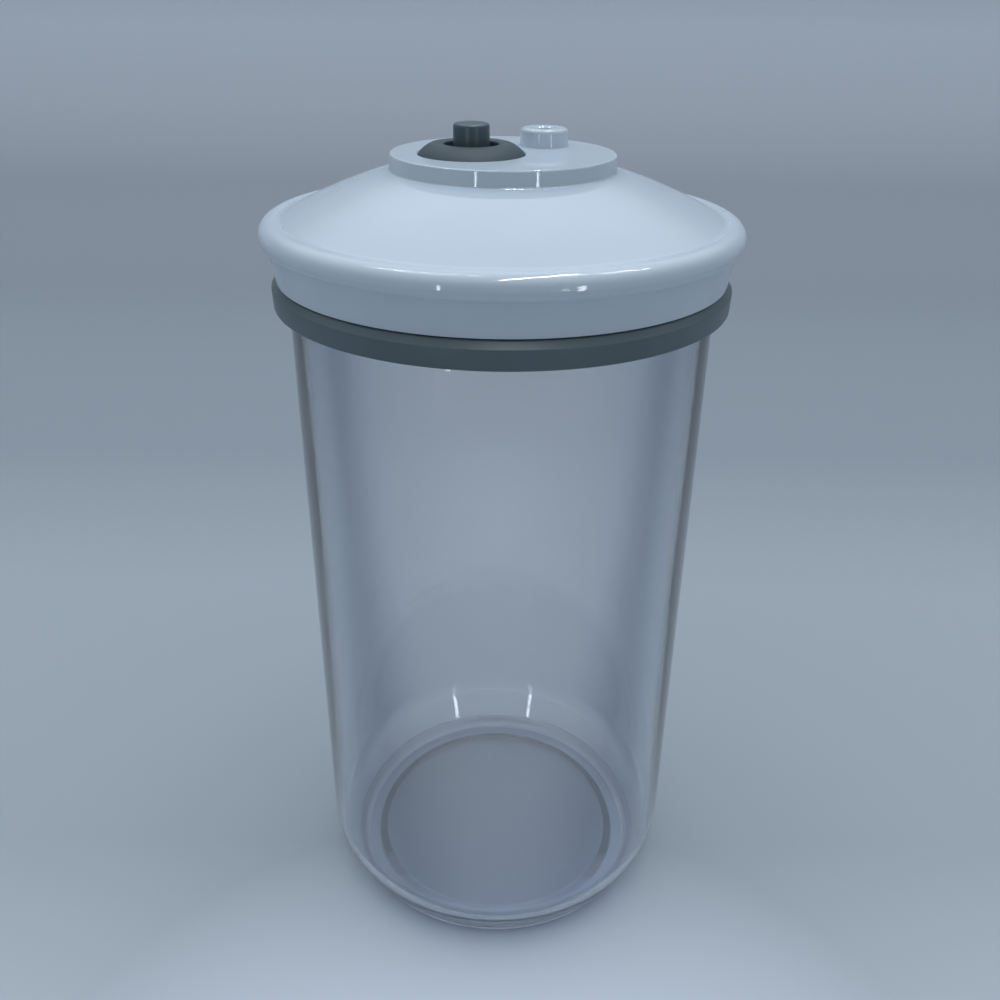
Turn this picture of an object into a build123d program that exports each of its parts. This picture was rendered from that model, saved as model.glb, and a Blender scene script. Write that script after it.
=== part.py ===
from build123d import *
import math
import os

# Vacuum seal canister: a clear round canister, a grey rubber gasket on its rim and a white
# domed lid. A round platform on the lid carries the vent release button, set in a rubber
# collar, and a port for a pump hose with a check valve under it.
# Millimetres. Z is up, the canister's foot stands at Z = 0 and its axis is X = Y = 0.
# The front, from which both fittings are seen side by side, faces -Y.

# Canister
canister_height = 217.0
rim_radius = 63.0
canister_wall = 2.6
rim_edge_round = 0.6
wall_draft = 1.1
corner_height = 16.4
corner_run = 9.3
corner_round = 21.5
foot_round = 4.2
floor_top = 5.0
floor_round = 5.0
foot_ring_width = 6.5
foot_recess_slope = 2.3
foot_recess_depth = 2.0
foot_recess_round = 0.8

# Gasket
gasket_roof = 3.0
gasket_lip_width = 4.6
gasket_shoulder_run = 2.0
gasket_shoulder_rise = 2.0
gasket_shoulder_round = 0.4
gasket_lip_taper = 0.25
gasket_lip_drop = 2.6
gasket_inner_lip_drop = 4.4
gasket_inner_lip_width = 3.65
gasket_neck_wall = 3.55
gasket_neck_height = 6.3
gasket_edge_round = 0.6
rim_clearance = 0.3
stretch_gap = 0.05

# Lid shell
lid_gap = 2.4
skirt_setback = 1.4
skirt_flare = 2.0
skirt_sweep = 0.25
skirt_height = 9.8
skirt_wall = 2.2
bead_ledge = 0.5
bead_ledge_round = 0.15
bead_overhang = 1.8
bead_undercut = 2.6
bead_rise = 3.6
bead_width = 5.8
valley_round = 3.0
dome_height = 12.75
dome_bulge = 0.9
platform_radius = 32.1
platform_flare = 0.4
platform_height = 4.5
platform_wall = 3.0
platform_round = 0.5
platform_foot_round = 0.6
lid_wall = 2.4
ring_wall = 2.2
ring_drop = 6.0
ring_lip = 0.8
rib_count = 24
rib_thickness = 1.4

# Release button, in its well under the platform
button_x = -8.9
button_y = -3.4
well_radius = 9.0
well_wall = 1.8
well_depth = 16.6
web_thickness = 2.0
vent_hole_radius = 2.2
button_radius = 5.1
button_rise = 7.9
button_crown = 0.5
button_edge_round = 0.9
button_flange_gap = 0.3
button_flange_thickness = 2.0
button_hub_radius = 3.2
button_hub_length = 4.0
stem_radius = 1.5
stem_socket_depth = 9.0
stem_fit = 0.02
stem_tail = 1.5
stem_chamfer = 0.4
release_seal_radius = 5.2
release_seal_thickness = 2.0
retainer_radius = 3.2
retainer_thickness = 0.5
retainer_notch_count = 4
retainer_notch_width = 0.9
retainer_notch_radius = 2.3

# Return spring round the stem
spring_height = 8.0
spring_wire_radius = 0.4
spring_mean_radius = 4.6
spring_turns = 4.5

# Rubber collar round the button
collar_base_radius = 15.2
collar_recess_depth = 0.3
collar_recess_gap = 0.3
collar_height = 2.7
collar_shoulder_radius = 11.3
collar_shoulder_bulge = 0.25
collar_hole_radius = 7.7
collar_crown_round = 0.5
collar_sleeve_depth = 5.3
collar_sleeve_fit = 0.05

# Hose port and the check valve under it
port_x = 12.0
port_y = 13.4
port_base_radius = 7.15
port_top_radius = 6.85
port_height = 5.0
port_round = 1.2
port_bore_radius = 2.7
port_bore_chamfer = 0.5
spigot_radius = 5.0
spigot_fit = 0.05
spigot_depth = 8.2
spigot_slot_count = 4
spigot_slot_width = 1.4
spigot_slot_height = 1.2
socket_radius = 7.6
socket_wall = 2.0
socket_top_depth = 4.6
socket_bottom_depth = 14.6
o_ring_fit = 0.05
seat_fit = 0.05
seat_cup_radius = 5.6
seat_floor_thickness = 2.0
seat_hole_radius = 2.0
seat_lip_radius = 2.8
seat_lip_width = 0.8
seat_lip_height = 0.4
valve_disc_radius = 4.7
valve_disc_thickness = 1.2
filter_thickness = 1.0
filter_gap = 0.2

# Valve cover and its screws
cover_thickness = 2.2
cover_radius = 10.4
cover_edge_round = 0.4
cover_slot_count = 5
cover_slot_pitch = 2.6
cover_slot_width = 1.2
cover_slot_reach = 6.4
screw_count = 3
screw_circle_radius = 11.6
screw_start_angle = 37.7
screw_boss_radius = 2.6
screw_ear_radius = 3.2
screw_shank_radius = 1.0
screw_shank_length = 8.0
screw_hole_depth = 9.0
screw_fit = 0.05
screw_head_radius = 2.2
screw_head_height = 1.5
screw_head_round = 0.6
screw_slot_width = 0.6
screw_slot_depth = 0.7

# Radii that follow from the sizes above
corner_wall_radius = rim_radius - wall_draft
foot_corner_radius = corner_wall_radius - corner_run
foot_ring_inner_radius = foot_corner_radius - foot_ring_width
foot_recess_radius = foot_ring_inner_radius - foot_recess_slope
mouth_radius = rim_radius - canister_wall
gasket_radius = rim_radius + gasket_lip_width
gasket_inner_radius = mouth_radius - rim_clearance - gasket_inner_lip_width
gasket_neck_radius = gasket_inner_radius + gasket_neck_wall
ring_radius = gasket_inner_radius - stretch_gap
skirt_radius = gasket_radius - skirt_setback
skirt_inner_radius = skirt_radius - skirt_wall
bead_root_radius = skirt_radius + skirt_flare
bead_radius = bead_root_radius + bead_overhang
dome_foot_radius = bead_radius - bead_width
platform_foot_radius = platform_radius + platform_flare
platform_inner_radius = platform_radius - lid_wall
flange_radius = well_radius - button_flange_gap
sleeve_radius = well_radius - collar_sleeve_fit
o_ring_radius = (spigot_radius + socket_radius) / 2
o_ring_section_radius = (socket_radius - spigot_radius) / 2 - o_ring_fit

# Heights that follow from the sizes above
gasket_top = canister_height + gasket_roof
gasket_shoulder_top = gasket_top + gasket_shoulder_rise
neck_top = gasket_top + gasket_neck_height
skirt_bottom = gasket_top + lid_gap
skirt_top = skirt_bottom + skirt_height
bead_middle = skirt_top + bead_undercut
dome_foot = bead_middle + bead_rise
platform_base = dome_foot + dome_height
platform_top = platform_base + platform_height
platform_underside = platform_top - platform_wall
web_top = platform_top - well_depth
web_bottom = web_top - web_thickness
collar_base = platform_top - collar_recess_depth
sleeve_bottom = collar_base - collar_sleeve_depth
flange_bottom = web_top + spring_height
hub_bottom = flange_bottom - button_hub_length
seal_bottom = web_bottom - release_seal_thickness
retainer_bottom = seal_bottom - retainer_thickness
stem_bottom = retainer_bottom - stem_tail
socket_top = platform_top - socket_top_depth
socket_bottom = platform_top - socket_bottom_depth
spigot_bottom = platform_top - spigot_depth
o_ring_middle = socket_top - o_ring_section_radius
seat_top = o_ring_middle - o_ring_section_radius
filter_top = socket_bottom + filter_thickness
seat_floor_top = filter_top + seat_floor_thickness
valve_disc_bottom = seat_floor_top + seat_lip_height
cover_bottom = socket_bottom - cover_thickness
ring_bottom = canister_height - ring_drop
flange_top = flange_bottom + button_flange_thickness
button_edge = platform_top + button_rise
collar_top = platform_top + collar_height
port_top = platform_top + port_height
over_cut = 1.0

os.makedirs("parts", exist_ok=True)


def save(part, name):
    """Label a finished piece and write it to its own file."""
    part.label = name
    export_step(part, f"parts/{name}.step")


def axis_at(x, y):
    """The upright axis of a fitting that stands at x, y."""
    return Axis((x, y, 0), (0, 0, 1))


def upright_plane(x, y):
    """The plane through a fitting's axis, with its outline drawn as radius and height."""
    return Plane(origin=(x, y, 0), x_dir=(1, 0, 0), z_dir=(0, -1, 0))


def screw_places():
    """The centres of the cover screws round the port."""
    turn = 2 * math.pi / screw_count
    start = math.radians(screw_start_angle)
    return [
        (
            port_x + screw_circle_radius * math.cos(start + turn * i),
            port_y + screw_circle_radius * math.sin(start + turn * i),
        )
        for i in range(screw_count)
    ]


# Canister: a slightly flared cup on a foot ring, open at the rim
corner_turn = math.pi / 2 - math.atan2(corner_height, corner_run)
inner_corner_height = corner_height + canister_wall * math.tan(corner_turn / 2)
inner_corner_radius = corner_wall_radius - canister_wall
floor_rise = inner_corner_height - floor_top
floor_corner_radius = inner_corner_radius - floor_rise * corner_run / corner_height

with BuildPart() as canister_body:
    with BuildSketch(Plane.XZ):
        with BuildLine():
            FilletPolyline(
                (0, foot_recess_depth),
                (foot_recess_radius, foot_recess_depth),
                (foot_ring_inner_radius, 0),
                (foot_corner_radius, 0),
                (corner_wall_radius, corner_height),
                (rim_radius, canister_height),
                (rim_radius - canister_wall, canister_height),
                (inner_corner_radius, inner_corner_height),
                (floor_corner_radius, floor_top),
                (0, floor_top),
                radius=[
                    foot_recess_round,
                    foot_recess_round,
                    foot_round,
                    corner_round,
                    rim_edge_round,
                    rim_edge_round,
                    corner_round - canister_wall,
                    floor_round,
                ],
            )
            Line((0, floor_top), (0, foot_recess_depth))
        make_face()
    revolve(axis=Axis.Z)
save(canister_body.part, "canister_body")

# Gasket: a cap over the rim with a lip inside and outside it, a sloped shoulder under the
# skirt and a neck up into the lid
with BuildPart() as lid_gasket:
    with BuildSketch(Plane.XZ):
        with BuildLine():
            FilletPolyline(
                (gasket_inner_radius, canister_height - gasket_inner_lip_drop),
                (mouth_radius - rim_clearance, canister_height - gasket_inner_lip_drop),
                (mouth_radius - rim_clearance, canister_height),
                (rim_radius + rim_clearance, canister_height),
                (rim_radius + rim_clearance, canister_height - gasket_lip_drop),
                (gasket_radius - gasket_lip_taper, canister_height - gasket_lip_drop),
                (gasket_radius, gasket_top),
                (gasket_radius - gasket_shoulder_run, gasket_shoulder_top),
                (gasket_neck_radius, gasket_shoulder_top),
                (gasket_neck_radius, neck_top),
                (gasket_inner_radius, neck_top),
                radius=[gasket_edge_round, 0, 0, gasket_edge_round, gasket_edge_round]
                + [gasket_shoulder_round, gasket_shoulder_round, gasket_edge_round, 0],
            )
            Line((gasket_inner_radius, neck_top),
                 (gasket_inner_radius, canister_height - gasket_inner_lip_drop))
        make_face()
    revolve(axis=Axis.Z)
save(lid_gasket.part, "lid_gasket")

# Hollow under the lid shell, less the gasket ring, its ribs and the bosses that stand in it
dome_middle_radius = (platform_foot_radius + dome_foot_radius) / 2
dome_middle = (platform_base + dome_foot) / 2 + dome_bulge
dome_slope = dome_height / (dome_foot_radius - platform_foot_radius)
under_dome = lid_wall * math.hypot(1, dome_slope)
hollow_rise = (platform_foot_radius - platform_inner_radius) * dome_slope
hollow_step = platform_base + hollow_rise - under_dome
hollow_foot = dome_foot - under_dome
with BuildPart() as lid_hollow:
    with BuildSketch(Plane.XZ):
        with BuildLine():
            Polyline(
                (skirt_inner_radius, hollow_foot),
                (skirt_inner_radius, skirt_bottom),
                (0, skirt_bottom),
                (0, platform_underside),
                (platform_inner_radius, platform_underside),
                (platform_inner_radius, hollow_step),
            )
            ThreePointArc(
                (platform_inner_radius, hollow_step),
                (dome_middle_radius, dome_middle - under_dome),
                (skirt_inner_radius, hollow_foot),
            )
        make_face()
    revolve(axis=Axis.Z)
    hollow_height = platform_top - skirt_bottom
    with BuildSketch(Plane.XY.offset(skirt_bottom)):
        Circle(ring_radius)
        Circle(ring_radius - ring_wall, mode=Mode.SUBTRACT)
    extrude(amount=hollow_height, mode=Mode.SUBTRACT)
    with BuildSketch(Plane.XY.offset(neck_top)):
        with PolarLocations((ring_radius + skirt_inner_radius) / 2, rib_count):
            Rectangle(skirt_radius - ring_radius, rib_thickness)
    extrude(amount=hollow_height, mode=Mode.SUBTRACT)
    with BuildSketch(Plane.XY.offset(web_bottom)):
        with Locations((button_x, button_y)):
            Circle(well_radius + well_wall)
    extrude(amount=hollow_height, mode=Mode.SUBTRACT)
    with BuildSketch(Plane.XY.offset(socket_bottom)):
        with Locations((port_x, port_y)):
            Circle(socket_radius + socket_wall)
        with Locations(screw_places()):
            Circle(screw_boss_radius)
    extrude(amount=hollow_height, mode=Mode.SUBTRACT)

# Lid shell: skirt, rolled bead, dome and platform in one moulding
with BuildPart() as lid_shell:
    with BuildSketch(Plane.XZ) as shell_outline:
        with BuildLine():
            Line((0, skirt_bottom), (skirt_radius, skirt_bottom))
            ThreePointArc(
                (skirt_radius, skirt_bottom),
                (
                    (skirt_radius + bead_root_radius) / 2 - skirt_sweep,
                    (skirt_bottom + skirt_top) / 2,
                ),
                (bead_root_radius, skirt_top),
            )
            Line((bead_root_radius, skirt_top), (bead_root_radius + bead_ledge, skirt_top))
            TangentArc(
                (bead_radius, bead_middle),
                (bead_root_radius + bead_ledge, skirt_top),
                tangent=(0, -1),
            )
            TangentArc(
                (bead_radius, bead_middle),
                (dome_foot_radius, dome_foot),
                tangent=(0, 1),
            )
            ThreePointArc(
                (dome_foot_radius, dome_foot),
                (dome_middle_radius, dome_middle),
                (platform_foot_radius, platform_base),
            )
            FilletPolyline(
                (platform_foot_radius, platform_base),
                (platform_radius, platform_top),
                (0, platform_top),
                (0, skirt_bottom),
                radius=[platform_round, 0],
            )
        make_face()
        corners = shell_outline.vertices()
        platform_foot = corners.sort_by_distance((platform_foot_radius, platform_base))[0]
        fillet(platform_foot, radius=platform_foot_round)
        corners = shell_outline.vertices()
        fillet(corners.sort_by_distance((dome_foot_radius, dome_foot))[0], radius=valley_round)
        corners = shell_outline.vertices()
        ledge_edge = corners.sort_by_distance((bead_root_radius + bead_ledge, skirt_top))[0]
        fillet(ledge_edge, radius=bead_ledge_round)
    revolve(axis=Axis.Z)
    add(lid_hollow.part, mode=Mode.SUBTRACT)
    with BuildSketch(Plane.XY.offset(ring_bottom)):
        Circle(ring_radius)
        Circle(ring_radius - ring_wall, mode=Mode.SUBTRACT)
    extrude(amount=skirt_bottom - ring_bottom)
    lip_height = canister_height - gasket_inner_lip_drop - stretch_gap - ring_bottom
    with BuildSketch(Plane.XY.offset(ring_bottom)):
        Circle(ring_radius + ring_lip)
        Circle(ring_radius - ring_wall, mode=Mode.SUBTRACT)
    extrude(amount=lip_height)
    with BuildSketch(Plane.XY.offset(collar_base)):
        with Locations((button_x, button_y)):
            Circle(collar_base_radius + collar_recess_gap)
    extrude(amount=over_cut, mode=Mode.SUBTRACT)
    with BuildSketch(Plane.XY.offset(web_top)):
        with Locations((button_x, button_y)):
            Circle(well_radius)
    extrude(amount=well_depth + over_cut, mode=Mode.SUBTRACT)
    with BuildSketch(Plane.XY.offset(web_bottom - over_cut)):
        with Locations((button_x, button_y)):
            Circle(vent_hole_radius)
    extrude(amount=web_thickness + 2 * over_cut, mode=Mode.SUBTRACT)
    with BuildSketch(Plane.XY.offset(socket_bottom - over_cut)):
        with Locations((port_x, port_y)):
            Circle(socket_radius)
    extrude(amount=socket_top - socket_bottom + over_cut, mode=Mode.SUBTRACT)
    with BuildSketch(Plane.XY.offset(socket_top - over_cut)):
        with Locations((port_x, port_y)):
            Circle(spigot_radius + spigot_fit)
    extrude(amount=socket_top_depth + 2 * over_cut, mode=Mode.SUBTRACT)
    with BuildSketch(Plane.XY.offset(socket_bottom - over_cut)):
        with Locations(screw_places()):
            Circle(screw_shank_radius + screw_fit)
    extrude(amount=screw_hole_depth + over_cut, mode=Mode.SUBTRACT)
save(lid_shell.part, "lid_shell")

# Release collar: a rubber cone round the button, with a sleeve down into the well
with BuildPart() as release_collar:
    with BuildSketch(upright_plane(button_x, button_y)):
        with BuildLine():
            Polyline(
                (collar_hole_radius, collar_top - collar_crown_round),
                (collar_hole_radius, sleeve_bottom),
                (sleeve_radius, sleeve_bottom),
                (sleeve_radius, collar_base),
                (collar_base_radius, collar_base),
            )
            ThreePointArc(
                (collar_base_radius, collar_base),
                (
                    (collar_base_radius + collar_shoulder_radius) / 2 + collar_shoulder_bulge,
                    (collar_base + collar_top) / 2 + collar_shoulder_bulge,
                ),
                (collar_shoulder_radius, collar_top),
            )
            Line(
                (collar_shoulder_radius, collar_top),
                (collar_hole_radius + collar_crown_round, collar_top),
            )
            RadiusArc(
                (collar_hole_radius + collar_crown_round, collar_top),
                (collar_hole_radius, collar_top - collar_crown_round),
                -collar_crown_round,
            )
        make_face()
    revolve(axis=axis_at(button_x, button_y))
save(release_collar.part, "release_collar")

# Release button: a domed plunger with a guide flange and a hub for the stem
with BuildPart() as release_button:
    with BuildSketch(upright_plane(button_x, button_y)) as button_outline:
        with BuildLine():
            ThreePointArc(
                (-button_radius, button_edge),
                (0, button_edge + button_crown),
                (button_radius, button_edge),
            )
            Polyline(
                (button_radius, button_edge),
                (button_radius, flange_top),
                (flange_radius, flange_top),
                (flange_radius, flange_bottom),
                (button_hub_radius, flange_bottom),
                (button_hub_radius, hub_bottom),
                (-button_hub_radius, hub_bottom),
                (-button_hub_radius, flange_bottom),
                (-flange_radius, flange_bottom),
                (-flange_radius, flange_top),
                (-button_radius, flange_top),
                (-button_radius, button_edge),
            )
        make_face()
        fillet(button_outline.vertices().group_by(Axis.Y)[-1], radius=button_edge_round)
        split(bisect_by=Plane.YZ)
    revolve(axis=axis_at(button_x, button_y))
    with BuildSketch(Plane.XY.offset(hub_bottom)):
        with Locations((button_x, button_y)):
            Circle(stem_radius + stem_fit)
    extrude(amount=stem_socket_depth, mode=Mode.SUBTRACT)
save(release_button.part, "release_button")

# Stem: a steel pin from the button's socket down through the vent hole
with BuildPart() as release_stem:
    with BuildSketch(Plane.XY.offset(stem_bottom)):
        with Locations((button_x, button_y)):
            Circle(stem_radius)
    extrude(amount=hub_bottom + stem_socket_depth - stem_bottom)
    chamfer(release_stem.edges().group_by(Axis.Z)[0], length=stem_chamfer)
save(release_stem.part, "release_stem")

# Release seal: a rubber washer on the stem, drawn up against the web under the well
with BuildPart() as release_seal:
    with BuildSketch(Plane.XY.offset(seal_bottom)):
        with Locations((button_x, button_y)):
            Circle(release_seal_radius)
            Circle(stem_radius + stem_fit, mode=Mode.SUBTRACT)
    extrude(amount=release_seal_thickness)
save(release_seal.part, "release_seal")

# Stem retainer: a push-on steel clip with notched teeth, under the seal
with BuildPart() as stem_retainer:
    with BuildSketch(Plane.XY.offset(retainer_bottom)):
        with Locations((button_x, button_y)):
            Circle(retainer_radius)
            Circle(stem_radius + stem_fit, mode=Mode.SUBTRACT)
            with PolarLocations(retainer_notch_radius / 2, retainer_notch_count):
                Rectangle(retainer_notch_radius, retainer_notch_width, mode=Mode.SUBTRACT)
    extrude(amount=retainer_thickness)
save(stem_retainer.part, "stem_retainer")


# Return spring: one round wire wound in even turns, between the web and the button's flange
spring_rise = spring_height - 2 * spring_wire_radius


def spring_point(turns):
    """The middle of the wire after so many turns."""
    angle = 2 * math.pi * turns
    return Vector(
        button_x + spring_mean_radius * math.cos(angle),
        button_y + spring_mean_radius * math.sin(angle),
        web_top + spring_wire_radius + spring_rise * turns / spring_turns,
    )


def spring_tangent(turns):
    """The wire's direction after so many turns."""
    angle = 2 * math.pi * turns
    lead = spring_rise / (2 * math.pi * spring_turns)
    return Vector(
        -spring_mean_radius * math.sin(angle), spring_mean_radius * math.cos(angle), lead
    ).normalized()


def biarc_joint(start, start_way, end, end_way):
    """The point where two arcs, tangent to the ways at the ends, meet tangent to each other."""
    chord = end - start
    along = chord.dot(start_way + end_way)
    spread = 1 - start_way.dot(end_way)
    reach = (-along + math.sqrt(along**2 + 2 * spread * chord.dot(chord))) / (2 * spread)
    return (start + start_way * reach + end - end_way * reach) * (1 / 2)


half_turns = round(spring_turns * 2)
with BuildPart() as release_spring:
    with BuildLine() as spring_path:
        for half_turn in range(half_turns):
            turns_from = half_turn / 2
            turns_to = (half_turn + 1) / 2
            joint = biarc_joint(
                spring_point(turns_from),
                spring_tangent(turns_from),
                spring_point(turns_to),
                spring_tangent(turns_to),
            )
            first = TangentArc(spring_point(turns_from), joint, tangent=spring_tangent(turns_from))
            TangentArc(joint, spring_point(turns_to), tangent=first % 1)
    with BuildSketch(Plane(origin=spring_path.line @ 0, z_dir=spring_path.line % 0)):
        Circle(spring_wire_radius)
    sweep()
save(release_spring.part, "release_spring")
steps_per_turn = 72
spring_points = [
    spring_point(i / steps_per_turn) for i in range(round(spring_turns * steps_per_turn) + 1)
]
spring_gap = min(
    (spring_points[i] - spring_points[j]).length
    for i in range(len(spring_points))
    for j in range(i + steps_per_turn // 2, len(spring_points))
) - 2 * spring_wire_radius
print(f"spring: least gap between turns {spring_gap:.2f} mm")
wire_length = sum(edge.length for edge in spring_path.edges())
wire_volume = math.pi * spring_wire_radius**2 * wire_length
print(f"spring: volume {release_spring.part.volume:.2f} of {wire_volume:.2f} mm3")

# Hose port: a boss on the platform with a bore, and a spigot down into the valve socket
with BuildPart() as hose_port:
    with BuildSketch(upright_plane(port_x, port_y)):
        with BuildLine():
            FilletPolyline(
                (port_bore_radius + port_bore_chamfer, port_top),
                (port_top_radius, port_top),
                (port_base_radius, platform_top),
                radius=port_round,
            )
            Polyline(
                (port_base_radius, platform_top),
                (spigot_radius, platform_top),
                (spigot_radius, spigot_bottom),
                (port_bore_radius, spigot_bottom),
                (port_bore_radius, port_top - port_bore_chamfer),
                (port_bore_radius + port_bore_chamfer, port_top),
            )
        make_face()
    revolve(axis=axis_at(port_x, port_y))
    with BuildSketch(Plane.XY.offset(spigot_bottom)):
        with Locations((port_x, port_y)):
            with PolarLocations(spigot_radius, spigot_slot_count):
                Rectangle(spigot_radius, spigot_slot_width)
    extrude(amount=spigot_slot_height, mode=Mode.SUBTRACT)
save(hose_port.part, "hose_port")

# O-ring round the spigot, at the top of the socket
with BuildPart() as port_o_ring:
    with BuildSketch(upright_plane(port_x, port_y)):
        with Locations((o_ring_radius, o_ring_middle)):
            Circle(o_ring_section_radius)
    revolve(axis=axis_at(port_x, port_y))
save(port_o_ring.part, "port_o_ring")

# Valve seat: a cup in the socket, with a raised lip round its hole
with BuildPart() as valve_seat:
    with BuildSketch(Plane.XY.offset(filter_top)):
        with Locations((port_x, port_y)):
            Circle(socket_radius - seat_fit)
    extrude(amount=seat_top - filter_top)
    with BuildSketch(Plane.XY.offset(seat_floor_top)):
        with Locations((port_x, port_y)):
            Circle(seat_cup_radius)
            Circle(seat_lip_radius + seat_lip_width / 2, mode=Mode.SUBTRACT)
            Circle(seat_lip_radius - seat_lip_width / 2)
    extrude(amount=seat_top - seat_floor_top, mode=Mode.SUBTRACT)
    with BuildSketch(Plane.XY.offset(valve_disc_bottom)):
        with Locations((port_x, port_y)):
            Circle(seat_cup_radius)
    extrude(amount=seat_top - valve_disc_bottom, mode=Mode.SUBTRACT)
    with BuildSketch(Plane.XY.offset(filter_top)):
        with Locations((port_x, port_y)):
            Circle(seat_hole_radius)
    extrude(amount=seat_floor_thickness, mode=Mode.SUBTRACT)
save(valve_seat.part, "valve_seat")

# Check valve disc: a loose rubber disc that lifts off the lip while air is drawn out
with BuildPart() as check_valve_disc:
    with BuildSketch(Plane.XY.offset(valve_disc_bottom)):
        with Locations((port_x, port_y)):
            Circle(valve_disc_radius)
    extrude(amount=valve_disc_thickness)
save(check_valve_disc.part, "check_valve_disc")

# Filter disc under the seat
with BuildPart() as filter_disc:
    with BuildSketch(Plane.XY.offset(socket_bottom)):
        with Locations((port_x, port_y)):
            Circle(socket_radius - filter_gap)
    extrude(amount=filter_thickness)
save(filter_disc.part, "filter_disc")

# Valve cover: a slotted plate with an ear at each screw
with BuildPart() as valve_cover:
    with BuildSketch(Plane.XY.offset(cover_bottom)):
        with Locations((port_x, port_y)):
            Circle(cover_radius)
        with Locations(screw_places()):
            Circle(screw_ear_radius)
    extrude(amount=cover_thickness)
    fillet(valve_cover.faces().sort_by(Axis.Z)[0].edges(), radius=cover_edge_round)
    with BuildSketch(Plane.XY.offset(cover_bottom)):
        with Locations((port_x, port_y)):
            Circle(cover_slot_reach)
            with GridLocations(cover_slot_pitch, 0, cover_slot_count + 1, 1):
                Rectangle(cover_slot_pitch - cover_slot_width, 2 * cover_slot_reach,
                          mode=Mode.SUBTRACT)
    extrude(amount=cover_thickness, mode=Mode.SUBTRACT)
    with BuildSketch(Plane.XY.offset(cover_bottom)):
        with Locations(screw_places()):
            Circle(screw_shank_radius + screw_fit)
    extrude(amount=cover_thickness, mode=Mode.SUBTRACT)
save(valve_cover.part, "valve_cover")

# Cover screws: domed slotted heads under the cover, shanks up into the bosses
with BuildPart() as valve_cover_screws:
    for screw_x, screw_y in screw_places():
        with BuildSketch(Plane.XY.offset(cover_bottom)):
            with Locations((screw_x, screw_y)):
                Circle(screw_shank_radius)
        extrude(amount=screw_shank_length)
    for screw_x, screw_y in screw_places():
        with BuildSketch(Plane.XY.offset(cover_bottom - screw_head_height)):
            with Locations((screw_x, screw_y)):
                Circle(screw_head_radius)
        extrude(amount=screw_head_height)
    fillet(valve_cover_screws.edges().group_by(Axis.Z)[0], radius=screw_head_round)
    with BuildSketch(Plane.XY.offset(cover_bottom - screw_head_height)):
        with Locations(screw_places()):
            Rectangle(2 * screw_head_radius, screw_slot_width)
    extrude(amount=screw_slot_depth, mode=Mode.SUBTRACT)
save(valve_cover_screws.part, "valve_cover_screws")
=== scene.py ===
import math

import bmesh
import bpy
from mathutils import Matrix, Vector


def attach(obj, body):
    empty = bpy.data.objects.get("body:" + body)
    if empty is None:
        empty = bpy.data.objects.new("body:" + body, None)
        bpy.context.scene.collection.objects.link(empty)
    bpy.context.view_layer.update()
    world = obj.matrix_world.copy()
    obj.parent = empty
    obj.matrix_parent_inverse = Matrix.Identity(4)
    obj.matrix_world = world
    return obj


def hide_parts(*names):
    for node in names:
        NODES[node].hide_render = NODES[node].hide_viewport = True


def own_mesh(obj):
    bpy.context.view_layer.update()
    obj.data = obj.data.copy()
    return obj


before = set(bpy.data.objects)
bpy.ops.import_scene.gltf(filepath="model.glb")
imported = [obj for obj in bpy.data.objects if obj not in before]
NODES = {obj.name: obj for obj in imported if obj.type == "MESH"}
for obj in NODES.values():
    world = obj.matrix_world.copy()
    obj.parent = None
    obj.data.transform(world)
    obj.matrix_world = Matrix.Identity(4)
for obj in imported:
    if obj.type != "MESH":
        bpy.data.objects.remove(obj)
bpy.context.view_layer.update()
MM = 0.001
TURN_STEPS = 256
SHARP_ANGLE = 35

# The canister's sizes in millimetres, as in the part, from the foot ring up
CANISTER_HEIGHT = 217.0
RIM_RADIUS = 63.0
CANISTER_WALL = 2.6
MOUTH_RADIUS = RIM_RADIUS - CANISTER_WALL
RIM_ROUND = 0.6
FLOOR_TOP = 5.0
FLOOR_ROUND = 5.0
RECESS_RADIUS, RECESS_HEIGHT = 43.8, 2.0
FOOT_INNER, FOOT_OUTER = 46.1, 52.6
FOOT_INNER_ROUND, FOOT_OUTER_ROUND = 0.8, 4.2
CORNER_RADIUS, CORNER_HEIGHT = 61.9, 16.4
CORNER_ROUND = 21.5

# The gasket's sizes in millimetres: it sits over the rim, with a lip inside the mouth
GASKET_TOP = CANISTER_HEIGHT + 3.0
GASKET_GAP = 0.3
GASKET_INSIDE = 56.45
LIP_DEPTH = 4.4
SKIRT_DEPTH = 2.6
SKIRT_FOOT_RADIUS, GASKET_RADIUS = 67.35, 67.6
CROWN_RADIUS, CROWN_RISE = 65.6, 2.0
NECK_RADIUS, NECK_RISE = 60.0, 6.3
GASKET_ROUND, CROWN_ROUND = 0.6, 0.4


# Mesh helpers

def rounded(points, radii, steps=8):
    """The outline through points, with each inner corner rounded to its radius."""
    out = [Vector(points[0])]
    for i, radius in enumerate(radii, start=1):
        corner = Vector(points[i])
        if radius == 0:
            out.append(corner)
            continue
        back = (Vector(points[i - 1]) - corner).normalized()
        ahead = (Vector(points[i + 1]) - corner).normalized()
        half = back.angle(ahead) / 2
        centre = corner + (back + ahead).normalized() * (radius / math.sin(half))
        start = corner + back * (radius / math.tan(half)) - centre
        sweep = start.angle_signed(corner + ahead * (radius / math.tan(half)) - centre)
        for k in range(steps + 1):
            out.append(centre + Matrix.Rotation(-sweep * k / steps, 2) @ start)
    out.append(Vector(points[-1]))
    return out


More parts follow.
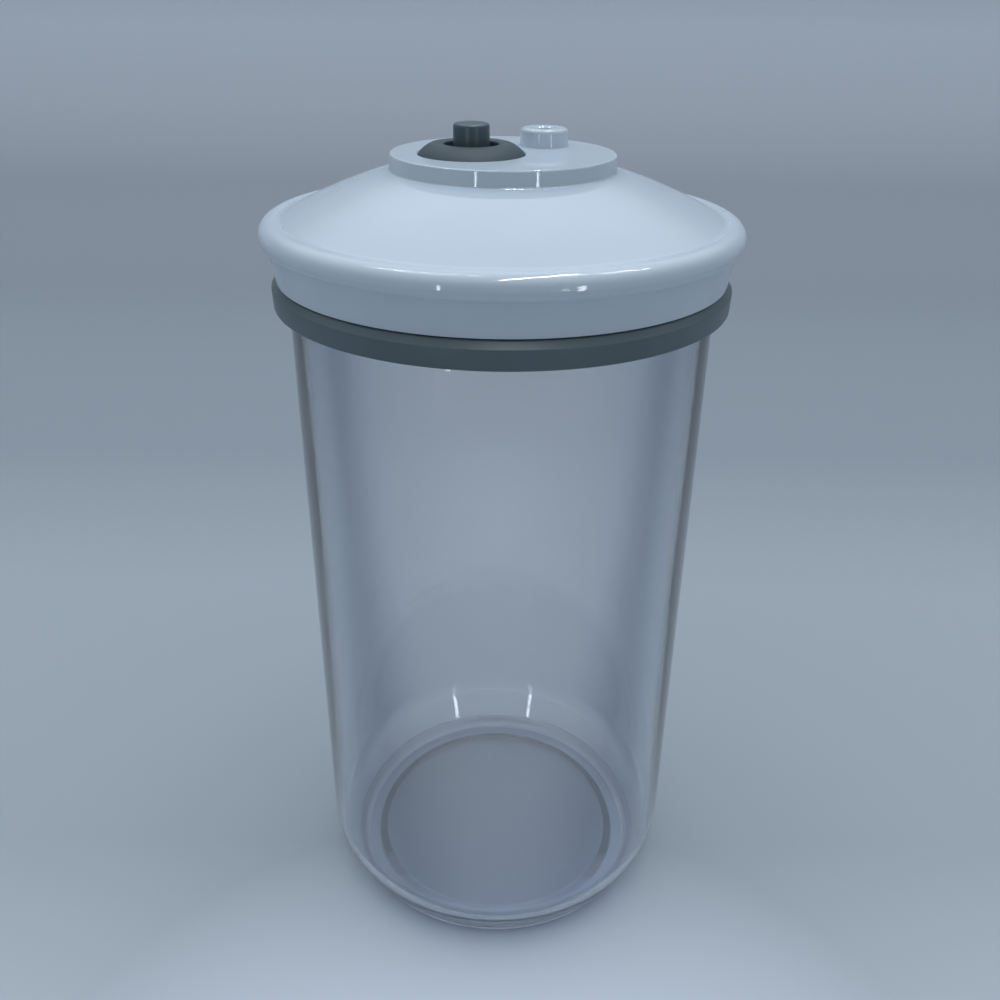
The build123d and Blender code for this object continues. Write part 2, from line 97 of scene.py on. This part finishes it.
def lathe(name, outline):
    """A closed solid of revolution from an outline of (radius, height) in millimetres."""
    bm = bmesh.new()
    turns = [2 * math.pi * k / TURN_STEPS for k in range(TURN_STEPS)]
    rings = []
    for radius, height in outline:
        if radius < 1e-6:
            rings.append([bm.verts.new((0, 0, height * MM))] * TURN_STEPS)
            continue
        rings.append([
            bm.verts.new((radius * math.cos(a) * MM, radius * math.sin(a) * MM, height * MM))
            for a in turns
        ])
    closes = outline[0][0] > 1e-6
    pairs = list(zip(rings, rings[1:])) + ([(rings[-1], rings[0])] if closes else [])
    for low, high in pairs:
        for k in range(TURN_STEPS):
            after = (k + 1) % TURN_STEPS
            corners = []
            for v in (low[k], low[after], high[after], high[k]):
                if v not in corners:
                    corners.append(v)
            if len(corners) > 2:
                bm.faces.new(corners)
    bmesh.ops.remove_doubles(bm, verts=bm.verts, dist=1e-7)
    bmesh.ops.recalc_face_normals(bm, faces=bm.faces)
    return new_object(name, bm)


def new_object(name, bm):
    """A mesh object from a bmesh, shaded smooth but for its sharp edges."""
    mesh = bpy.data.meshes.new(name)
    bm.to_mesh(mesh)
    bm.free()
    return place_mesh(name, mesh)


def place_mesh(name, mesh):
    """An object of the mesh in the scene, shaded smooth but for its sharp edges."""
    mesh.shade_smooth()
    mesh.set_sharp_from_angle(angle=math.radians(SHARP_ANGLE))
    obj = bpy.data.objects.new(name, mesh)
    bpy.context.scene.collection.objects.link(obj)
    return obj


# Material helpers. Sources are output sockets or plain values.

MIX_FACTOR, MIX_A, MIX_B, MIX_RESULT = 0, 6, 7, 2


class Finish:
    """A material with a Principled shader and the nodes that drive it."""

    def __init__(self, name):
        self.material = bpy.data.materials.new(name)
        self.material.use_nodes = True
        self.tree = self.material.node_tree
        self.tree.nodes.clear()
        self.out = self.add("ShaderNodeOutputMaterial")
        self.shader = self.add("ShaderNodeBsdfPrincipled")
        self.feed(self.shader.outputs["BSDF"], self.out.inputs["Surface"])
        self.place = self.add("ShaderNodeTexCoord").outputs["Object"]

    def add(self, kind, **settings):
        node = self.tree.nodes.new(kind)
        for key, value in settings.items():
            setattr(node, key, value)
        return node

    def feed(self, source, socket):
        if isinstance(source, bpy.types.NodeSocket):
            self.tree.links.new(source, socket)
        else:
            socket.default_value = source

    def drive(self, name, source):
        """Sets an input of the Principled shader."""
        self.feed(source, self.shader.inputs[name])

    def noise(self, scale, detail, stretch=None):
        """Noise over the object's own metres, stretched along its axes if asked."""
        node = self.add("ShaderNodeTexNoise")
        node.inputs["Scale"].default_value = scale
        node.inputs["Detail"].default_value = detail
        where = self.place
        if stretch:
            scaling = self.add("ShaderNodeMapping")
            scaling.inputs["Scale"].default_value = stretch
            self.feed(where, scaling.inputs["Vector"])
            where = scaling.outputs["Vector"]
        self.feed(where, node.inputs["Vector"])
        return node.outputs["Fac"]

    def axes(self):
        """The X, Y and Z of a place on the object."""
        node = self.add("ShaderNodeSeparateXYZ")
        self.feed(self.place, node.inputs["Vector"])
        return [node.outputs[axis] for axis in "XYZ"]

    def length(self, vector):
        node = self.add("ShaderNodeVectorMath", operation="LENGTH")
        self.feed(vector, node.inputs["Vector"])
        return node.outputs["Value"]

    def span(self, source, start, end, low=0.0, high=1.0):
        """The source's run from start to end, spread from low to high and held beyond."""
        node = self.add("ShaderNodeMapRange")
        self.feed(source, node.inputs["Value"])
        for name, value in (("From Min", start), ("From Max", end), ("To Min", low), ("To Max", high)):
            node.inputs[name].default_value = value
        return node.outputs["Result"]

    def combine(self, operation, *sources, clamp=False):
        """A sum or product of the sources."""
        node = self.add("ShaderNodeMath", operation=operation, use_clamp=clamp)
        for source, socket in zip(sources, node.inputs):
            self.feed(source, socket)
        return node.outputs["Value"]

    def ramp(self, source, stops):
        """Colours along a value: stops are (position, colour)."""
        node = self.add("ShaderNodeValToRGB")
        elements = node.color_ramp.elements
        for position, colour in stops:
            elements.new(position).color = (*colour, 1)
        elements.remove(elements[0])
        elements.remove(elements[-1])
        self.feed(source, node.inputs["Fac"])
        return node.outputs["Color"]

    def mix(self, amount, base, colour):
        """The base, with the colour over it by amount."""
        node = self.add("ShaderNodeMix", data_type="RGBA")
        self.feed(amount, node.inputs[MIX_FACTOR])
        self.feed(base, node.inputs[MIX_A])
        self.feed((*colour, 1), node.inputs[MIX_B])
        return node.outputs[MIX_RESULT]

    def bump(self, *layers):
        """Bump layers of (source, strength, distance in metres), one on another."""
        normal = None
        for source, strength, distance in layers:
            node = self.add("ShaderNodeBump")
            node.inputs["Strength"].default_value = strength
            node.inputs["Distance"].default_value = distance
            self.feed(source, node.inputs["Height"])
            if normal:
                self.feed(normal, node.inputs["Normal"])
            normal = node.outputs["Normal"]
        self.drive("Normal", normal)


# Noise runs between these values for the most part
NOISE_LOW, NOISE_HIGH = 0.3, 0.7


def mottled(name, pattern, dark, light, roughness, gloss_scale, gloss_detail):
    """A finish between two colours, with a gloss that varies from place to place."""
    m = Finish(name)
    m.drive("Base Color", m.ramp(m.noise(*pattern), ((NOISE_LOW, dark), (NOISE_HIGH, light))))
    gloss = m.noise(gloss_scale, gloss_detail)
    m.drive("Roughness", m.span(gloss, NOISE_LOW, NOISE_HIGH, *roughness))
    return m


def moulded(name, colour, roughness, spread=0.02, grain=900.0, depth=0.00002):
    """Moulded plastic or rubber: faint mottling, handled gloss and a fine skin."""
    dark, light = (tuple(c * f for c in colour) for f in (1 - spread, 1 + spread))
    m = mottled(name, (38.0, 4.0), dark, light, roughness, 55.0, 5.0)
    m.bump((m.noise(grain, 2.0), 0.35, depth), (m.noise(60.0, 2.0), 0.15, 0.00008))
    return m


def clear_plastic():
    """Clear plastic with a lavender edge and painted shade on its slanted sides, milky round the foot,
    with a painted shadow at its floor's ring and painted shade over the floor inside that ring.
    """
    m = Finish("clear_plastic")
    m.drive("IOR", 1.57)
    x, y, z = m.axes()
    flat = m.add("ShaderNodeCombineXYZ")
    m.feed(x, flat.inputs["X"])
    m.feed(y, flat.inputs["Y"])
    radius = m.length(flat.outputs["Vector"])

    # Masks by place, in metres: the floor's underside, its ring and the foot's outside. The ring and
    # the floor inside it get painted shade.
    under = m.span(z, 0.0026, 0.0022)
    ring = m.combine(
        "MULTIPLY", m.span(radius, 0.0431, 0.0434), m.span(radius, 0.0465, 0.0461)
    )
    behind_front = m.span(y, -0.032, -0.018)
    # A painted shadow at the ring, for the dark corner where the floor's underside meets the table,
    # faded out towards the front
    ring_shadow = m.combine("MULTIPLY", m.combine("MULTIPLY", ring, under), behind_front)
    # Painted shade over the floor's underside inside the ring, for the shaded table beneath the
    # canister seen through it
    recess_shade = m.combine("MULTIPLY", m.span(radius, 0.0434, 0.0428), under)
    outside = m.span(radius, 0.0495, 0.0510)
    scuffs = m.combine("MULTIPLY", m.span(z, 0.0052, 0.0044, 0.0, 0.3), outside)

    handled = m.span(m.noise(30.0, 5.0), 0.45, 0.75, 0.015, 0.06)
    m.drive("Roughness", m.combine("ADD", handled, scuffs))

    # The plastic's colour, darkened where the wall is seen at a slant: painted shade on the body's
    # sides, lighter again at the very edge
    facing = m.add("ShaderNodeLayerWeight").outputs["Facing"]
    tint_and_side_shade = m.ramp(facing, (
        (0.10, (0.985, 0.985, 0.99)), (0.30, (0.84, 0.86, 0.90)), (0.44, (0.53, 0.56, 0.64)),
        (0.56, (0.58, 0.62, 0.70)), (0.68, (0.90, 0.94, 0.985)), (0.85, (0.95, 0.98, 1.0)),
    ))
    # Painted shade darkens the colour there
    tint_with_floor_shade = m.mix(recess_shade, tint_and_side_shade, (0.50, 0.56, 0.62))
    # The ring's painted shadow is nearly black and lets no light through
    m.drive("Base Color", m.mix(ring_shadow, tint_with_floor_shade, (0.0, 0.012, 0.034)))

    scuff_milkiness = -2.4
    passes = m.span(ring_shadow, 0.0, 1.0, 0.96, 0.0)
    through = m.combine("MULTIPLY_ADD", scuffs, scuff_milkiness, passes, clamp=True)
    m.drive("Transmission Weight", through)

    m.bump(
        (m.noise(28.0, 1.0, (1, 1, 0.35)), 0.12, 0.0006),
        (m.noise(700.0, 2.0, (1, 1, 0.08)), 0.05, 0.00002),
    )

    # Light passes straight through to what lies behind, a little dimmed
    lets_light = m.add("ShaderNodeBsdfTransparent")
    lets_light.inputs["Color"].default_value = (0.50, 0.53, 0.58, 1)
    shadow_ray = m.add("ShaderNodeLightPath").outputs["Is Shadow Ray"]
    surface = m.add("ShaderNodeMixShader")
    m.feed(shadow_ray, surface.inputs[0])
    m.feed(m.shader.outputs["BSDF"], surface.inputs[1])
    m.feed(lets_light.outputs["BSDF"], surface.inputs[2])
    m.feed(surface.outputs["Shader"], m.out.inputs["Surface"])

    absorb = m.add("ShaderNodeVolumeAbsorption")
    absorb.inputs["Color"].default_value = (0.70, 0.73, 0.80, 1)
    absorb.inputs["Density"].default_value = 8.0
    m.feed(absorb.outputs["Volume"], m.out.inputs["Volume"])
    return m


def stage_sheet():
    """The sheet's paper, with painted light and shade that rise and fall up the backdrop and a painted
    pool of light in front.
    """
    m = Finish("stage")
    m.drive("Roughness", 0.85)
    _, y, z = m.axes()
    # Painted light and shade: the paper's tone rises and falls along the sheet, from the floor round
    # the bend and up the wall
    run = m.span(m.combine("ADD", y, z), -0.5, 2.0)
    painted_light_bands = m.ramp(run, (
        (0.12, (0.387, 0.427, 0.468)), (0.165, (0.477, 0.522, 0.572)),
        (0.195, (0.369, 0.414, 0.455)), (0.27, (0.370, 0.414, 0.458)),
        (0.34, (0.282, 0.317, 0.361)), (0.50, (0.295, 0.330, 0.374)),
        (0.60, (0.383, 0.418, 0.472)), (0.72, (0.736, 0.796, 0.874)),
    ))
    # A painted pool of light on the floor in front of the object
    pool = m.add("ShaderNodeMapping")
    pool.inputs["Location"].default_value = (0, 1.0, 0)
    pool.inputs["Scale"].default_value = (7.0, 8.0, 1.0)
    m.feed(m.place, pool.inputs["Vector"])
    light_pool = m.span(m.length(pool.outputs["Vector"]), 1.0, 0.2)
    m.drive("Base Color", m.mix(light_pool, painted_light_bands, (0.78, 0.84, 0.93)))
    return m


# Materials
white = moulded("white_plastic", (0.645, 0.74, 0.83), (0.035, 0.06))
port_white = moulded("port_plastic", (0.66, 0.755, 0.845), (0.12, 0.2), grain=1400.0)
gasket_grey = moulded("gasket_rubber", (0.115, 0.158, 0.176), (0.28, 0.42), 0.08, 1600.0)
collar_grey = moulded("collar_rubber", (0.060, 0.088, 0.104), (0.55, 0.7), 0.07, 1800.0, 0.00004)
button_grey = moulded("button_plastic", (0.095, 0.138, 0.16), (0.25, 0.4), 0.07, 1500.0, 0.00003)
valve_black = moulded("valve_rubber", (0.03, 0.032, 0.035), (0.5, 0.7), 0.1, 1500.0, 0.00004)
for dark_finish in (gasket_grey, collar_grey, button_grey, valve_black):
    dark_finish.drive("Specular IOR Level", 0.3)

steel = mottled(
    "steel", (120.0, 3.0), (0.55, 0.56, 0.57), (0.68, 0.69, 0.7), (0.2, 0.38), 400.0, 3.0
)
steel.drive("Metallic", 1.0)
steel.bump((steel.noise(900.0, 2.0, (1, 1, 0.05)), 0.2, 0.00002))

felt = Finish("filter_felt")
fibres = felt.noise(1500.0, 4.0)
felt.drive(
    "Base Color",
    felt.ramp(fibres, ((NOISE_LOW, (0.62, 0.62, 0.6)), (NOISE_HIGH, (0.82, 0.82, 0.8)))),
)
felt.drive("Roughness", 0.95)
felt.bump((felt.noise(2500.0, 4.0), 0.8, 0.0002))

clear = clear_plastic()


def finish_piece(obj, paint, body, slot, *replaced):
    """Paints a piece, rides it on its body and hides the nodes that it stands for."""
    obj.data.materials.clear()
    obj.data.materials.append(paint.material)
    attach(obj, body)
    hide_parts(*replaced)


# Canister: the inner corner lies one wall inside the outer one, and the floor meets it
flare_run = CORNER_RADIUS - FOOT_OUTER
flare_turn = math.pi / 2 - math.atan2(CORNER_HEIGHT, flare_run)
inner_corner = (
    CORNER_RADIUS - CANISTER_WALL, CORNER_HEIGHT + CANISTER_WALL * math.tan(flare_turn / 2)
)
floor_corner = (
    inner_corner[0] - (inner_corner[1] - FLOOR_TOP) * flare_run / CORNER_HEIGHT, FLOOR_TOP
)
canister_outline = rounded(
    [
        (0, RECESS_HEIGHT), (RECESS_RADIUS, RECESS_HEIGHT), (FOOT_INNER, 0), (FOOT_OUTER, 0),
        (CORNER_RADIUS, CORNER_HEIGHT), (RIM_RADIUS, CANISTER_HEIGHT),
        (MOUTH_RADIUS, CANISTER_HEIGHT), inner_corner, floor_corner, (0, FLOOR_TOP),
    ],
    [
        FOOT_INNER_ROUND, FOOT_INNER_ROUND, FOOT_OUTER_ROUND, CORNER_ROUND,
        RIM_ROUND, RIM_ROUND, CORNER_ROUND - CANISTER_WALL, FLOOR_ROUND,
    ],
    steps=16,
)
canister = lathe("canister", canister_outline)
finish_piece(canister, clear, "canister", "clear_plastic", "canister_body")

# Gasket
gasket_outline = rounded(
    [
        (GASKET_INSIDE, CANISTER_HEIGHT - LIP_DEPTH),
        (MOUTH_RADIUS - GASKET_GAP, CANISTER_HEIGHT - LIP_DEPTH),
        (MOUTH_RADIUS - GASKET_GAP, CANISTER_HEIGHT),
        (RIM_RADIUS + GASKET_GAP, CANISTER_HEIGHT),
        (RIM_RADIUS + GASKET_GAP, CANISTER_HEIGHT - SKIRT_DEPTH),
        (SKIRT_FOOT_RADIUS, CANISTER_HEIGHT - SKIRT_DEPTH),
        (GASKET_RADIUS, GASKET_TOP),
        (CROWN_RADIUS, GASKET_TOP + CROWN_RISE),
        (NECK_RADIUS, GASKET_TOP + CROWN_RISE),
        (NECK_RADIUS, GASKET_TOP + NECK_RISE),
        (GASKET_INSIDE, GASKET_TOP + NECK_RISE),
    ],
    [
        GASKET_ROUND, 0, 0, GASKET_ROUND, GASKET_ROUND,
        CROWN_ROUND, CROWN_ROUND, GASKET_ROUND, 0,
    ],
)
gasket = lathe("gasket", gasket_outline)
finish_piece(gasket, gasket_grey, "lid", "gasket_rubber", "lid_gasket")

# The other pieces keep the modelled shapes
paints = {
    white: ("lid_shell",),
    port_white: ("hose_port", "valve_seat", "valve_cover"),
    collar_grey: ("release_collar",),
    button_grey: ("release_button",),
    valve_black: ("release_seal", "port_o_ring", "check_valve_disc"),
    steel: ("release_stem", "stem_retainer", "release_spring", "valve_cover_screws"),
    felt: ("filter_disc",),
}
for paint, names in paints.items():
    for name in names:
        NODES[name].data.materials.clear()
        NODES[name].data.materials.append(paint.material)

# Return spring: a copy of the modelled coil, on a mesh of its own
coil = NODES["release_spring"]
spring_mesh = coil.data.copy()
spring_mesh.transform(coil.matrix_world)
spring = place_mesh("return_spring", spring_mesh)
finish_piece(spring, steel, "lid", "steel", "release_spring")
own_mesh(spring)

# Floor and backdrop: one sheet that bends up behind the object
half_width, front, back, height, bend, bend_steps = 2.5, -2.5, 1.1, 0.65, 0.45, 24
bend_angles = [math.pi / 2 * k / bend_steps for k in range(bend_steps + 1)]
sheet_line = [(front, 0.0)]
sheet_line += [
    (back - bend + bend * math.sin(a), bend - bend * math.cos(a)) for a in bend_angles
]
sheet_line.append((back, height))
sheet = bmesh.new()
rows = [
    [sheet.verts.new((side, y, z)) for side in (-half_width, half_width)] for y, z in sheet_line
]
for near, far in zip(rows, rows[1:]):
    sheet.faces.new((near[0], near[1], far[1], far[0]))
backdrop = new_object("backdrop", sheet)
backdrop.data.materials.append(stage_sheet().material)

# Light: a soft sky, brightest overhead, gives all the diffuse light
world = bpy.data.worlds.new("sky")
bpy.context.scene.world = world
world.use_nodes = True
sky = world.node_tree
background = sky.nodes["Background"]
background.inputs["Color"].default_value = (0.84, 0.92, 1.0, 1)
direction = sky.nodes.new("ShaderNodeTexCoord")
rise = sky.nodes.new("ShaderNodeVectorMath")
rise.operation = "DOT_PRODUCT"
rise.inputs[1].default_value = (0, 0.17, 0.985)
glow = sky.nodes.new("ShaderNodeMapRange")
glow.interpolation_type = "SMOOTHSTEP"
glow.inputs["From Min"].default_value = 0.36
glow.inputs["From Max"].default_value = 1.0
glow.inputs["To Min"].default_value = 0.13
glow.inputs["To Max"].default_value = 1.72
sky.links.new(direction.outputs["Generated"], rise.inputs[0])
sky.links.new(rise.outputs["Value"], glow.inputs["Value"])
sky.links.new(glow.outputs["Result"], background.inputs["Strength"])


def lamp(name, width, height, place, target, watts):
    """A thin flat lamp that faces its target and makes only highlights."""
    data = bpy.data.lights.new(name, "AREA")
    data.shape = "RECTANGLE"
    data.size = width
    data.size_y = height
    data.energy = watts
    data.color = (0.86, 0.93, 1.0)
    obj = bpy.data.objects.new(name, data)
    bpy.context.scene.collection.objects.link(obj)
    obj.location = place
    facing = Vector(target) - Vector(place)
    obj.rotation_euler = facing.to_track_quat("-Z", "Y").to_euler()
    obj.visible_camera = False
    obj.visible_diffuse = False


lamp("top_tube", 0.75, 0.008, (0.13, -0.12, 1.15), (0, -0.07, 0.24), 6.5)
lamp("left_tube", 0.010, 0.5, (-0.30, 0.12, 1.12), (0, 0, 0.24), 1.5)
lamp("right_tube", 0.010, 0.5, (0.38, 0.12, 1.12), (0, 0, 0.24), 1.5)
lamp("left_strip", 0.024, 0.34, (-0.27, -0.56, 0.20), (0, 0, 0.20), 0.36)
lamp("right_strip", 0.024, 0.34, (0.36, -0.55, 0.20), (0, 0, 0.20), 0.36)

# Camera, at the photo's place
camera_data = bpy.data.cameras.new("camera")
camera_data.sensor_width = 36.0
camera_data.lens = 36.0
camera_data.clip_start = 0.01
camera_data.clip_end = 20.0
camera = bpy.data.objects.new("camera", camera_data)
bpy.context.scene.collection.objects.link(camera)
pitch, roll, yaw = math.radians(27.50), math.radians(0.672), math.radians(0.061)
camera.matrix_world = (
    Matrix.Translation((-0.09 * MM, -296.49 * MM, 298.87 * MM))
    @ Matrix.Rotation(-yaw, 4, "Z")
    @ Matrix.Rotation(math.pi / 2 - pitch, 4, "X")
    @ Matrix.Rotation(roll, 4, "Z")
)
bpy.context.scene.camera = camera
bpy.context.scene.view_settings.view_transform = "Standard"
